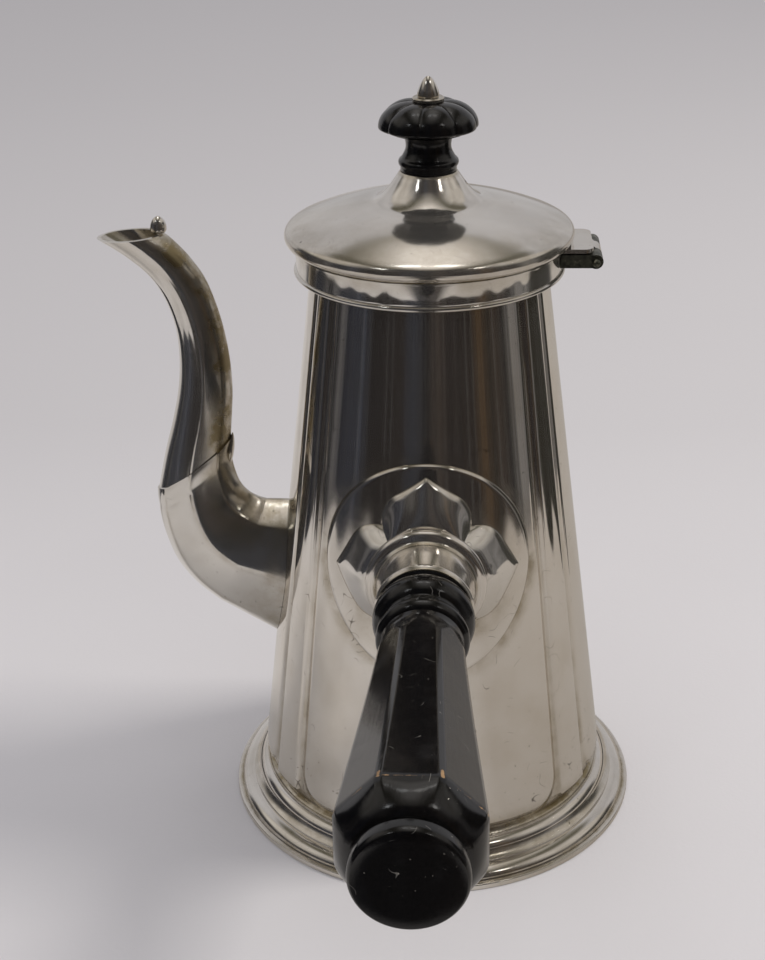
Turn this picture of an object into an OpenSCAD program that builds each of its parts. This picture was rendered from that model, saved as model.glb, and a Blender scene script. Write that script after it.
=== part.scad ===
// Side-handled coffee pot: a tapered, panelled body on a moulded foot, a tall curved spout,
// a hinged domed lid with a turned knob, and a faceted handle in a socket on the side.
// Millimetres. Origin at the centre of the foot's underside, +Z up.
// The handle points along -Y, the spout along -X, and the lid hinges on +X.

/* [Body] */
// Height of the body wall's top edge, inside the collar
body_top_z = 153.5; // [152.5:0.5:154]
// Panel radius at the top edge
body_top_r = 29.8; // [29.4:0.1:30.2]
// Height where the straight taper starts, above the foot
body_foot_z = 15; // [14.5:0.5:16]
// Panel radius where the taper starts
body_foot_r = 47; // [46.6:0.1:47.4]
// Thickness of the body wall
body_wall = 1.4; // [1.2:0.1:1.8]
// Angle from the handle, or from its opposite side, to each pilaster's centre line
pilaster_at = 56.5; // [55:0.5:58]
// Angular width of one pilaster
pilaster_span = 15; // [13:0.5:16]
// How far a pilaster stands out from the panels
pilaster_proud = 0.6; // [0.4:0.1:0.8]
// Depth of the rolled grooves beside each pilaster
groove_depth = 0.7; // [0.4:0.1:0.8]
// Diameter of one strainer hole behind the spout
strainer_d = 2.6; // [2:0.1:3]

/* [Foot] */
// Outside diameter of the foot
foot_d = 112; // [111:0.5:114]
// Height of the foot's vertical lip
foot_lip = 1.5; // [1.2:0.1:1.8]

/* [Collar] */
// Height of the collar's top edge, where the lid rests
collar_top_z = 159.2; // [159:0.1:159.2]
// Outside radius of the collar at its lower edge
collar_r0 = 33.2; // [33:0.1:33.4]
// Outside radius of the collar at its top edge
collar_r1 = 34; // [33.8:0.1:34.1]
// Thickness of the collar wall
collar_wall = 1.3; // [1.1:0.1:1.4]

/* [Lid] */
// Outside radius of the lid's rolled rim
lid_r = 36.2; // [36:0.1:36.6]
// Height of the dome's shoulder, where the neck starts to rise
lid_shoulder_z = 169.6; // [169.3:0.1:170]
// Thickness of the lid's sheet
lid_wall = 1.1; // [0.9:0.1:1.2]
// Outside radius of the bezel that drops into the mouth
bezel_r = 31.5; // [31:0.1:31.6]
// Height of the bezel's lower edge
bezel_z = 155; // [155:0.1:157]

/* [Hinge] */
// Distance of the hinge line from the pot's axis
hinge_x = 41.2; // [41:0.1:41.8]
// Height of the hinge line
hinge_z = 156.2; // [156:0.1:156.4]
// Width of the hinge across its three knuckles
hinge_w = 17.6; // [16:0.2:19]
// Width of the lid's middle knuckle
hinge_mid_w = 6; // [5:0.5:7]
// Outside radius of a knuckle
knuckle_r = 1.8; // [1.7:0.1:1.9]
// Radius of the hinge pin
pin_r = 0.9; // [0.8:0.05:1]

/* [Knob] */
// Radius of the knob's mushroom head
knob_r = 12.35; // [12:0.05:12.8]
// Number of lobes on the head
knob_lobes = 8; // [6:1:10]
// Radius of the threaded stud through the knob
stud_r = 1.5; // [1.3:0.1:1.6]

/* [Spout] */
// Thickness of the spout's wall
spout_wall = 1.2; // [1:0.1:1.4]

/* [Handle] */
// Height of the handle's axis
handle_z = 85; // [84:0.5:86]
// Radius, up and down, of the thin plate behind the socket
plate_r = 28.5; // [26:0.5:29]
// Thickness of the plate
plate_t = 1.1; // [0.9:0.1:1.2]
// Distance of a petal's tip from the handle's axis
petal_tip = 25.5; // [24:0.5:26]
// Share of their width that the plate and petals keep when bent round the wall
bent_width = 0.9; // [0.88:0.01:1]
// Distance of the notches between petals from the handle's axis
petal_notch = 17.5; // [17:0.5:19]
// Radius of the socket's ring
ring_r = 15; // [14.5:0.1:15.4]
// Radius of the ferrule at its mouth
ferrule_r = 11.6; // [11.4:0.1:11.8]
// Distance from the pot's axis to the end of the handle
handle_reach = 157.5; // [156:0.5:160]
// Width across flats of the grip next to the socket
grip_thin = 19.5; // [19:0.5:20.5]
// Width across flats of the grip at its outer end
grip_thick = 30; // [28:0.5:31]

/* [Hidden] */

$fn = 96;
SILVER = [0.76, 0.75, 0.72];
EBONY = [0.07, 0.07, 0.075];
DARK_METAL = [0.22, 0.22, 0.19];
STEEL = [0.55, 0.55, 0.56];
cut = 1;                    // how far a cutting tool runs past the surface it cuts
solder_gap = 0.02;          // gap between pieces that are soldered face to face
chord_gap = 0.1;            // the same gap under flat triangles, whose middles dip inside the curve
running = 0.05;             // radial clearance of the lid's knuckle on the hinge pin
close_fit = 0.02;           // radial clearance of a pin or nut that doesn't turn
body_bottom_z = 9;
body_bottom_r = 45;         // radius of the wall where the foot is soldered on
floor_t = 1.2;
foot_top_z = 10.5;
collar_bottom_z = 151.8;
foot_sheet_r = 51;          // inner edge of the foot's turned-in flange
groove_tool_r = 1.5;
lid_bottom_z = collar_top_z + 0.1;
knob_bottom_z = 177;
knob_top_z = 194;
socket_y = 42;              // distance from the pot's axis to the socket's back
ring_y = 46.5;
ferrule_y = 57;
tenon_r = 7.9;
cross_pin_y = 51;           // distance from the pot's axis to the pin through ferrule and tenon
cross_pin_r = 1;
grip_y = 78;                // where the grip's flats start
grip_end_y = 145;           // where the flats end and the domed end starts
body_taper = (body_foot_r - body_top_r) / (body_top_z - body_foot_z);
taper_angle = atan(body_taper);

// ---- Shared shapes and rules ----

// Radius of the body's panels at height z
function body_r(z) = body_top_r + body_taper * (body_top_z - z);

// Outside radius of the collar at height z
function collar_r(z) =
    collar_r0 + (collar_r1 - collar_r0) * (z - collar_bottom_z) / (collar_top_z - collar_bottom_z);

// Points of an elliptical arc from angle a0 to a1
function arc(x, z, rx, rz, a0, a1, n) =
    [for (i = [0:n]) let (a = a0 + (a1 - a0) * i / n) [x + rx * cos(a), z + rz * sin(a)]];

// Smooth value between p1 and p2, with p0 and p3 as their neighbours
function spline(p0, p1, p2, p3, t) =
    0.5 * (2 * p1 + (p2 - p0) * t + (2 * p0 - 5 * p1 + 4 * p2 - p3) * t * t
        + (3 * p1 - p0 - 3 * p2 + p3) * t * t * t);

// The rows of a list with "steps" smooth rows for each given one
function smooth_rows(rows, steps) =
    let (last = len(rows) - 1)
    [for (k = [0:last * steps])
        let (i = min(floor(k / steps), last - 1), t = k / steps - i)
        spline(rows[max(i - 1, 0)], rows[i], rows[i + 1], rows[min(i + 2, last)], t)];

// Triangles between ring i and ring i + 1 of rings of n points, the first point being "base"
function band(base, rings, n, flip) =
    [for (i = [0:rings - 2], j = [0:n - 1])
        let (a = base + i * n + j, b = base + i * n + (j + 1) % n, c = b + n, d = a + n)
        each flip ? [[a, c, b], [a, d, c]] : [[a, b, c], [a, c, d]]];

// Triangles of the flat ring that closes the wall between two rings
function rim(outer, inner, n, flip) =
    [for (j = [0:n - 1])
        let (a = outer + j, b = outer + (j + 1) % n, c = inner + (j + 1) % n, d = inner + j)
        each flip ? [[a, c, b], [a, d, c]] : [[a, b, c], [a, c, d]]];

// A hollow tube through rings of points
module tube(outer, inner) {
    rings = len(outer);
    n = len(outer[0]);
    points = [for (r = outer) each r, for (r = inner) each r];
    start = rings * n;
    faces = concat(
        band(0, rings, n, true),
        band(start, rings, n, false),
        rim(0, start, n, false),
        rim((rings - 1) * n, start + (rings - 1) * n, n, true)
    );
    polyhedron(points, faces, convexity = 8);
}

// Turns a shape about the handle's axis: the profile's y is the distance from the pot's axis
module on_handle() {
    translate([0, 0, handle_z]) rotate([90, 0, 0]) children();
}

// ---- Body, foot and collar ----

// Bare wall of the body, before its pilasters and grooves
module panel_cone() {
    inner_foot = body_foot_r - body_wall;
    rotate_extrude() polygon([
        [body_bottom_r, body_bottom_z], [body_bottom_r, foot_top_z], [46.1, 12.6],
        [body_foot_r, body_foot_z], [body_top_r, body_top_z],
        [body_top_r - body_wall, body_top_z], [inner_foot, body_foot_z],
        [body_bottom_r - body_wall, 12.6], [body_bottom_r - body_wall, body_bottom_z]
    ]);
}

// One raised strip that runs up the body
module pilaster(at) {
    z0 = 13;
    z1 = collar_bottom_z - 0.2;
    rotate([0, 0, at - pilaster_span / 2]) rotate_extrude(angle = pilaster_span) polygon([
        [body_r(z0) - 0.7, z0 + 0.4], [body_r(z0) + pilaster_proud, z0],
        [body_r(z1) + pilaster_proud, z1], [body_r(z1) - 0.7, z1]
    ]);
}

// One rolled groove, cut along the body's taper
module groove(at) {
    z0 = 16;
    length = (body_top_z - z0) / cos(taper_angle) + cut;
    rotate([0, 0, at])
        translate([body_r(z0) + groove_tool_r - groove_depth, 0, z0])
            rotate([0, -taper_angle, 0])
                cylinder(h = length, r = groove_tool_r, $fn = 32);
}

module strainer_holes() {
    for (row = [0:6], column = [-1:1])
        translate([-body_foot_r, column * 5, 51 + row * 5])
            rotate([0, 90, 0])
                cylinder(h = body_foot_r - 28, r = strainer_d / 2, $fn = 24);
}

module body_shell() {
    color(SILVER) difference() {
        union() {
            panel_cone();
            for (side = [90, -90], way = [1, -1]) pilaster(side + way * pilaster_at);
        }
        for (side = [90, -90], way = [1, -1], edge = [1, -1])
            groove(side + way * (pilaster_at + edge * (pilaster_span / 2 + 1.5)));
        strainer_holes();
    }
}

module bottom_plate() {
    r = body_bottom_r - body_wall - solder_gap;
    color(SILVER) rotate_extrude() polygon([
        [0, body_bottom_z + 2], [r, body_bottom_z], [r, body_bottom_z + floor_t],
        [0, body_bottom_z + 2 + floor_t]
    ]);
}

module foot_ring() {
    r = foot_d / 2;
    outline = concat(
        [[foot_sheet_r, 0], [r, 0], [r, foot_lip], [r - 0.7, foot_lip + 0.5]],
        arc(50.6, 2, 4.2, 2.2, 0, 85, 6),
        [[50.3, 4.6]],
        arc(50.9, 9, 3.9, 4.2, 265, 190, 6),
        [[47, 9.4], [46.6, 10.2]],
        [[46, foot_top_z], [body_bottom_r + solder_gap, foot_top_z]],
        [[body_bottom_r + solder_gap, 8.4], [46.2, 5.8], [49, 3.1], [foot_sheet_r, 1.4]]
    );
    color(SILVER) rotate_extrude() polygon(outline);
}

module collar_band() {
    z0 = collar_bottom_z;
    color(SILVER) rotate_extrude() polygon([
        [body_r(z0) + solder_gap, z0], [collar_r0, z0], [collar_r1, collar_top_z],
        [collar_r1 - collar_wall, collar_top_z], [collar_r0 - collar_wall + 0.2, z0 + 1.4],
        [body_r(z0 + 1.2) + solder_gap, z0 + 1.2]
    ]);
}

// Half-round wire along the collar's lower edge
module collar_wire() {
    z = collar_bottom_z + 0.7;
    color(SILVER) rotate_extrude()
        polygon(concat(
            [[collar_r(z - 0.65) + solder_gap, z - 0.65]],
            arc(collar_r(z) + solder_gap, z, 0.7, 0.65, -80, 80, 8),
            [[collar_r(z + 0.65) + solder_gap, z + 0.65]]
        ));
}

// ---- Spout ----

// Rows down the spout: outer edge x, outer edge z, inner edge x, inner edge z, half width
SPOUT_SEAM = [-73.3, 90.4, -52.8, 104.9, 7.9];
SEAM_STEP = [-0.01, 0.015, -0.01, 0.015, 0];
NECK_ROWS = [
    [-83.9, 160.0, -67.2, 161.0, 6.2], [-77.2, 155.5, -64.4, 158.7, 5.7],
    [-71.4, 150.2, -60.3, 154.0, 5.3], [-67.8, 144.0, -56.6, 147.9, 5.3],
    [-65.6, 136.0, -53.6, 138.3, 5.5], [-65.2, 128.0, -52.0, 128.5, 5.9],
    [-66.0, 119.5, -51.6, 119.5, 6.4], [-68.0, 110.6, -52.1, 112.5, 7.0],
    [-70.8, 100.9, -52.5, 108.4, 7.5], SPOUT_SEAM + SEAM_STEP
];
ROOT_ROWS = [
    SPOUT_SEAM - SEAM_STEP, [-73.6, 83.2, -52.7, 98.6, 8.6],
    [-72.2, 75.4, -51.2, 92.6, 9.3], [-69.4, 67.6, -48.9, 89.4, 10.0],
    [-64.8, 61.2, -46.3, 87.8, 10.7], [-58.8, 55.8, -44.0, 87.1, 11.3]
];
SPOUT_POINTS = 24;
root_low_z = 46.5;
root_high_z = 87;

// One ring of the spout, "inset" inside its outer surface
function spout_ring(row, inset) =
    let (
        middle = [row[0] + row[2], row[1] + row[3]] / 2,
        half = [row[0] - row[2], row[1] - row[3]] / 2,
        depth = norm(half),
        way = half / depth
    )
    [for (j = [0:SPOUT_POINTS - 1])
        let (a = 360 * j / SPOUT_POINTS, along = middle + way * (depth - inset) * cos(a))
        [along[0], (row[4] - inset) * sin(a), along[1]]];

// The ring where the spout meets the tapered wall of the body
function root_ring(inset) =
    let (middle = (root_low_z + root_high_z) / 2, half = (root_high_z - root_low_z) / 2 - inset)
    [for (j = [0:SPOUT_POINTS - 1])
        let (a = 360 * j / SPOUT_POINTS, y = (12 - inset) * sin(a), z = middle - half * cos(a))
        [-sqrt(pow(body_r(z) + chord_gap, 2) - y * y), y, z]];

module spout_neck() {
    rows = smooth_rows(NECK_ROWS, 2);
    color(SILVER) tube(
        [for (row = rows) spout_ring(row, 0)],
        [for (row = rows) spout_ring(row, spout_wall)]
    );
}

module spout_root() {
    rows = smooth_rows(ROOT_ROWS, 2);
    color(SILVER) tube(
        concat([for (row = rows) spout_ring(row, 0)], [root_ring(0)]),
        concat([for (row = rows) spout_ring(row, spout_wall)], [root_ring(spout_wall)])
    );
}

// Small leaf that rises from the joint on the spout's inner side
module spout_leaf() {
    color(SILVER) hull() {
        translate([-52.5, 0, 105.6]) sphere(r = 0.7, $fn = 16);
        for (side = [-1, 1]) translate([-52.9, side * 1.7, 102]) sphere(r = 0.7, $fn = 16);
        translate([-53, 0, 98]) sphere(r = 0.8, $fn = 16);
    }
}

// Pointed bud on the back of the spout's mouth
module spout_bud() {
    color(SILVER) translate([-68.1, 0, 161.3]) rotate_extrude($fn = 32) polygon([
        [0, 0], [1.7, 0], [2.05, 0.5], [1.9, 1.4], [1.3, 2.7], [0.5, 3.9], [0, 4.2]
    ]);
}

// ---- Hinge ----

module hinge_knuckle(y, w, r) {
    translate([hinge_x, y + w / 2, hinge_z]) rotate([90, 0, 0]) cylinder(h = w, r = r, $fn = 48);
}

module hinge_bracket() {
    side_w = (hinge_w - hinge_mid_w) / 2 - 0.2;
    slot_w = hinge_mid_w + 0.4;
    color(DARK_METAL) difference() {
        union() {
            translate([collar_r0 - 3, -hinge_w / 2, hinge_z - 1.6])
                cube([hinge_x - collar_r0 + 3, hinge_w, 3.3]);
            for (side = [-1, 1]) hinge_knuckle(side * (hinge_w - side_w) / 2, side_w, knuckle_r);
        }
        rotate_extrude() polygon([
            [0, 151], [collar_r(151) + solder_gap, 151],
            [collar_r(collar_top_z) + solder_gap, collar_top_z], [0, collar_top_z]
        ]);
        translate([hinge_x - knuckle_r - 0.4, -slot_w / 2, hinge_z - 5]) cube([10, slot_w, 10]);
        hinge_knuckle(0, hinge_w + cut, pin_r + close_fit);
    }
}

module hinge_pin() {
    half = hinge_w / 2 + 0.3;
    head_r = 1;
    color(DARK_METAL) union() {
        hinge_knuckle(0, 2 * half, pin_r);
        for (side = [-1, 1])
            translate([hinge_x, side * (hinge_w / 2 + head_r), hinge_z]) sphere(r = head_r, $fn = 32);
    }
}

// Flat tab under the lid's rim, with the middle knuckle below its outer edge
module hinge_lid_leaf() {
    low = hinge_z + 2.15;
    high = lid_bottom_z + 0.05;
    inner_r = collar_r1 + 0.25;
    corner = 2.4;
    color(SILVER) difference() {
        union() {
            difference() {
                translate([0, 0, low]) linear_extrude(high - low) hull() {
                    translate([30, -hinge_w / 2]) square([4, hinge_w]);
                    for (side = [-1, 1])
                        translate([hinge_x - 0.6 - corner, side * (hinge_w / 2 - corner)])
                            circle(r = corner, $fn = 48);
                }
                translate([0, 0, low - 1]) cylinder(h = 4, r = inner_r);
            }
            intersection() {
                translate([0, 0, low]) difference() {
                    cylinder(h = 2, r = lid_r - 0.3);
                    translate([0, 0, -1]) cylinder(h = 4, r = inner_r);
                }
                translate([30, 1 - hinge_w / 2, low]) cube([10, hinge_w - 2, 3]);
            }
            translate([0, hinge_mid_w / 2, 0]) rotate([90, 0, 0]) linear_extrude(hinge_mid_w) polygon([
                [hinge_x - 2, low + 0.2], [hinge_x - 0.6, low + 0.2],
                [hinge_x + 1.2, hinge_z + 1], [hinge_x - 1.2, hinge_z + 1]
            ]);
            hinge_knuckle(0, hinge_mid_w, knuckle_r);
        }
        hinge_knuckle(0, hinge_w, pin_r + running);
    }
}

// ---- Lid ----

// Height of the dome's outer surface at radius r
function dome_z(r) = lid_shoulder_z - 6.1 * pow(max(r - 11, 0) / 24.1, 1.8);

// Outside and inside of the flared neck under the knob, radius and height
LID_NECK = [[14.6, 169.5], [13.2, 170.1], [11.9, 171], [10.6, 172.3], [9.3, 173.9], [8.2, 175.5]];
LID_INNER_NECK = [[7.2, 174.6], [8.4, 173], [9.9, 171.3], [11.5, 169.9], [13.2, 168.9], [14.8, 168.3]];

module lid_dome() {
    z = lid_bottom_z;
    rim_x = lid_r - 2.35;
    dome = [for (r = [34:-2:16]) [r, dome_z(r)]];
    inner_dome = [for (r = [16:2:34]) [r, dome_z(r) - lid_wall]];
    color(SILVER) difference() {
        rotate_extrude() polygon(concat(
            [[33.6, z]], arc(rim_x, z + 2.25, 2.35, 2.2, -84, 60, 10), dome, LID_NECK,
            [[7.2, knob_bottom_z], [stud_r + 0.1, knob_bottom_z]],
            [[stud_r + 0.1, knob_bottom_z - lid_wall], [6.2, knob_bottom_z - lid_wall]],
            LID_INNER_NECK, inner_dome,
            [[lid_r - lid_wall, z + 2.2], [lid_r - lid_wall - 0.4, z + 1.3], [33.6, z + 1]]
        ));
        translate([8, 0, 172.8]) rotate([0, 50, 0]) cylinder(h = 4, r = 0.8, $fn = 24);
    }
}

module lid_bezel() {
    z = lid_bottom_z;
    color(SILVER) rotate_extrude() polygon([
        [bezel_r, bezel_z], [bezel_r, z], [33.6 - solder_gap, z], [33.6 - solder_gap, z + 0.9],
        [bezel_r - 0.9, z + 0.9], [bezel_r - 0.9, bezel_z]
    ]);
}

// ---- Knob ----

// Turned wooden knob with a lobed head
module knob_grip() {
    shank = concat(
        [[stud_r + close_fit, knob_bottom_z], [6.9, knob_bottom_z], [7.2, 177.7]],
        arc(6.6, 179.1, 1.2, 1.2, -70, 80, 6),
        arc(9.6, 182.9, 3.75, 2.5, 215, 150, 6),
        [[6.9, 185.4], [knob_r - 1.3, 186.5]]
    );
    head = arc(4.4, 188.2, knob_r - 4.4, knob_top_z - 188.2, -12, 90, 14);
    color(EBONY) difference() {
        rotate_extrude() polygon(concat(shank, head, [[stud_r + close_fit, knob_top_z]]));
        for (i = [0:knob_lobes - 1])
            rotate([0, 0, 360 * (i + 0.5) / knob_lobes])
                translate([4.6, 0, 187.6])
                    rotate([90, 0, 0])
                        rotate([0, 0, -15])
                            rotate_extrude(angle = 95, $fn = 48)
                                translate([7.9, 0]) circle(r = 1.1, $fn = 24);
    }
}

module knob_washer() {
    color(SILVER) translate([0, 0, knob_top_z + solder_gap]) difference() {
        cylinder(h = 1, r = 3.9);
        translate([0, 0, -cut]) cylinder(h = 1 + 2 * cut, r = stud_r + close_fit, $fn = 32);
    }
}

module knob_cone_nut() {
    z = knob_top_z + 1 + 2 * solder_gap;
    bore = stud_r + close_fit;
    color(SILVER) rotate_extrude($fn = 48) polygon([
        [bore, z], [2.5, z], [2.7, z + 0.4], [2.45, z + 1.8], [1.9, z + 3.2], [1.1, z + 4.4],
        [0.4, 199.9], [0, 200], [0, z + 2.6], [bore, z + 2.6]
    ]);
}

module knob_stud() {
    color(STEEL) translate([0, 0, 171]) cylinder(h = 26.4, r = stud_r, $fn = 32);
}

module knob_under_washer() {
    top = knob_bottom_z - lid_wall - solder_gap;
    color(STEEL) translate([0, 0, top - 0.8]) difference() {
        cylinder(h = 0.8, r = 4.2, $fn = 48);
        translate([0, 0, -cut]) cylinder(h = 0.8 + 2 * cut, r = stud_r + close_fit, $fn = 32);
    }
}

module knob_lock_nut() {
    top = knob_bottom_z - lid_wall - 0.8 - 2 * solder_gap;
    color(STEEL) translate([0, 0, top - 2.4]) difference() {
        cylinder(h = 2.4, r = 3.4, $fn = 6);
        translate([0, 0, -cut]) cylinder(h = 2.4 + 2 * cut, r = stud_r + close_fit, $fn = 32);
    }
}

// ---- Handle ----

// Thin plate curved to the body's wall, round but a little narrower across
module handle_plate() {
    z0 = handle_z - plate_r - 2;
    z1 = handle_z + plate_r + 2;
    color(SILVER) intersection() {
        rotate_extrude() polygon([
            [body_r(z0) + chord_gap, z0], [body_r(z0) + plate_t, z0],
            [body_r(z1) + plate_t, z1], [body_r(z1) + chord_gap, z1]
        ]);
        on_handle() scale([bent_width, 1, 1]) cylinder(h = body_foot_r + 5, r = plate_r);
    }
}

PETAL_SLOPE = 0.58;         // fall of a petal's two straight edges from its tip
PETAL_SHOULDER = 22;        // degrees from a petal's middle to where it rounds into the notch

// Distance from the handle's axis to the calyx's edge in direction a
function petal_edge(a) =
    let (
        fold = abs((a + 45) % 90 - 45),
        gable = petal_tip / (cos(fold) + PETAL_SLOPE * sin(fold)),
        at_notch = petal_tip / (cos(45) + PETAL_SLOPE * sin(45))
    )
    gable * (1 - (1 - petal_notch / at_notch) * pow(max(fold - PETAL_SHOULDER, 0) / (45 - PETAL_SHOULDER), 2));

// Distance along -Y of the body's surface, "out" millimetres outside the wall
function wall_y(x, z, out) = sqrt(pow(body_r(z) + out, 2) - x * x);

// Four pointed petals that wrap the plate and rise to the socket's ring
CALYX_STEPS = 48;
CALYX_FLAT_RINGS = 4;       // rings under the socket, where the front is flat
CALYX_RINGS = 12;
function calyx_point(i, j, top) =
    let (
        a = 360 * j / CALYX_STEPS,
        start = ring_r + 0.4,
        u = max(0, (i - CALYX_FLAT_RINGS) / (CALYX_RINGS - CALYX_FLAT_RINGS)),
        reach = start * min(i / CALYX_FLAT_RINGS, 1) + (petal_edge(a) - start) * u,
        x = reach * sin(a) * (1 - (1 - bent_width) * u),
        z = handle_z + reach * cos(a),
        base = wall_y(x, z, plate_t + chord_gap),
        rise = socket_y - solder_gap - base,
        bulge = 1.4 * sin(180 * u)
    )
    [x, -(top ? base + 0.8 + (rise - 0.8) * pow(1 - u, 1.5) + bulge : base), z];

module handle_calyx() {
    n = CALYX_STEPS;
    rings = CALYX_RINGS;
    points = [
        for (i = [1:rings], j = [0:n - 1]) calyx_point(i, j, true),
        for (i = [1:rings], j = [0:n - 1]) calyx_point(i, j, false),
        [0, -(socket_y - solder_gap), handle_z],
        [0, -wall_y(0, handle_z, plate_t + chord_gap), handle_z]
    ];
    bottom = rings * n;
    front = 2 * rings * n;
    caps = [for (j = [0:n - 1])
        let (k = (j + 1) % n)
        each [[front, j, k], [front + 1, bottom + k, bottom + j]]];
    color(SILVER) polyhedron(points, concat(
        band(0, rings, n, true),
        band(bottom, rings, n, false),
        rim((rings - 1) * n, bottom + (rings - 1) * n, n, true),
        caps
    ), convexity = 6);
}

// Turned ring between the calyx and the ferrule
module handle_ring() {
    bore = tenon_r + close_fit;
    color(SILVER) on_handle() rotate_extrude() polygon(concat(
        [[bore, socket_y]], [[ring_r, socket_y]],
        arc(ring_r - 1.6, socket_y + 1.9, 1.6, 1.9, -60, 90, 8),
        [[12.8, 45.2], [12.6, ring_y], [bore, ring_y]]
    ));
}

module cross_pin(length, r) {
    translate([0, -cross_pin_y, handle_z]) rotate([0, 90, 0])
        cylinder(h = length, r = r, center = true, $fn = 32);
}

module handle_ferrule() {
    bore = tenon_r + close_fit;
    y0 = ring_y + solder_gap;
    color(SILVER) difference() {
        on_handle() rotate_extrude() polygon([
            [bore, y0], [12.3, y0], [12.1, 48], [ferrule_r, 54.6], [ferrule_r + 0.4, 55.2],
            [ferrule_r + 0.4, 56.4], [ferrule_r, ferrule_y], [bore, ferrule_y]
        ]);
        cross_pin(30, cross_pin_r + close_fit);
    }
}

module handle_cross_pin() {
    color(SILVER) cross_pin(23.6, cross_pin_r);
}

// One ring of the faceted grip: its width across flats at distance y from the pot's axis
function grip_flats(y) =
    let (t = (y - grip_y) / (grip_end_y - grip_y))
    grip_thin + (grip_thick - grip_thin) * pow(t, 1.15);

// Eight flat sides that flare towards the outer end, as one solid
module grip_shaft() {
    steps = 6;
    n = 8;
    points = [for (i = [0:steps], j = [0:n - 1])
        let (y = grip_y + (grip_end_y - grip_y) * i / steps, r = grip_flats(y) / 2 / cos(22.5))
        [r * cos(22.5 + 45 * j), r * sin(22.5 + 45 * j), y]];
    near_end = [[for (j = [0:n - 1]) j]];
    far_end = [[for (j = [n - 1:-1:0]) steps * n + j]];
    polyhedron(points, concat(band(0, steps + 1, n, true), near_end, far_end), convexity = 2);
}

// Faceted wooden handle with turned beads at the socket and a round button at the end
module handle_grip() {
    dome_r = grip_thick / 2 - 0.15;
    turned = concat(
        [[0, socket_y + 1], [tenon_r, socket_y + 1], [tenon_r, ferrule_y + solder_gap]],
        [[10.8, ferrule_y + solder_gap]],
        arc(8.2, 62, 4, 4.6, -75, 75, 8),
        [[9.9, 67.2]],
        arc(8.8, 70.4, 2.2, 2.6, -70, 75, 6),
        [[9.6, 75.5], [9.6, grip_y + 0.5], [0, grip_y + 0.5]]
    );
    domed_end = concat(
        [[0, grip_end_y - 0.5], [dome_r - 1, grip_end_y - 0.5], [dome_r, grip_end_y]],
        arc(10.2, grip_end_y, dome_r - 10.2, 7.6, 8, 80, 8),
        [[11, 152.8]],
        [[11.7, 153.4], [11.7, handle_reach - 1.6]],
        arc(10.5, handle_reach - 1.6, 1.2, 1.2, 15, 80, 4),
        [[0, handle_reach]]
    );
    color(EBONY) difference() {
        union() {
            on_handle() rotate_extrude() polygon(turned);
            on_handle() grip_shaft();
            on_handle() rotate_extrude() polygon(domed_end);
        }
        cross_pin(30, cross_pin_r + close_fit);
    }
}

body_shell();
bottom_plate();
foot_ring();
collar_band();
collar_wire();
spout_root();
spout_neck();
spout_leaf();
spout_bud();
hinge_bracket();
hinge_pin();
handle_plate();
handle_calyx();
handle_ring();
handle_ferrule();
handle_grip();
handle_cross_pin();
lid_dome();
lid_bezel();
hinge_lid_leaf();
knob_grip();
knob_washer();
knob_cone_nut();
knob_stud();
knob_under_washer();
knob_lock_nut();
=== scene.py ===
"""Looks of a silver-plated side-handled coffee pot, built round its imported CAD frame.

The frame's axes are used throughout: +Z up, handle along -Y, spout along -X, lid hinge on +X.
Shapes are worked out in millimetres and made in metres.
"""

import math

import bmesh
import bpy
from mathutils import Matrix, Vector


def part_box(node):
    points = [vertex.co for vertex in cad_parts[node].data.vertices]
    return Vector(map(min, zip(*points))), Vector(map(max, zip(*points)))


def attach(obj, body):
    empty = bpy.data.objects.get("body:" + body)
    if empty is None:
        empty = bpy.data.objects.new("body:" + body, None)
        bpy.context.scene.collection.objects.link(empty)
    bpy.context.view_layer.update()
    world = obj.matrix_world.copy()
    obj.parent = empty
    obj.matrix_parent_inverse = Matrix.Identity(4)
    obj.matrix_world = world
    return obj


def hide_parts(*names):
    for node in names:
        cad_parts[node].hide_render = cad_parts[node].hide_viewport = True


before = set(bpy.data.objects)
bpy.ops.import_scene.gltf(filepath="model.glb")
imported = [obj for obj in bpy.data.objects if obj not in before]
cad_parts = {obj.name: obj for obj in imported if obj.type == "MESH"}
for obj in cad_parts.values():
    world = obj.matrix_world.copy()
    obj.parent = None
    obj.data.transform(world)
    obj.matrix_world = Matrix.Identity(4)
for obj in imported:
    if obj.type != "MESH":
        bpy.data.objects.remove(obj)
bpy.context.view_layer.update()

MM = 0.001
TAU = 2 * math.pi


# ---- Sizes, in millimetres, read from the frame ----

def box_mm(node):
    """Lowest and highest corner of a CAD node, in millimetres."""
    low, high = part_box(node)
    return [c / MM for c in low], [c / MM for c in high]


def ring_radius(node, z, reach=0.05):
    """Largest distance from the pot's axis of a CAD node's points at height z."""
    points = [v.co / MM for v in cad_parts[node].data.vertices]
    return max(math.hypot(p.x, p.y) for p in points if abs(p.z - z) < reach)


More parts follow.
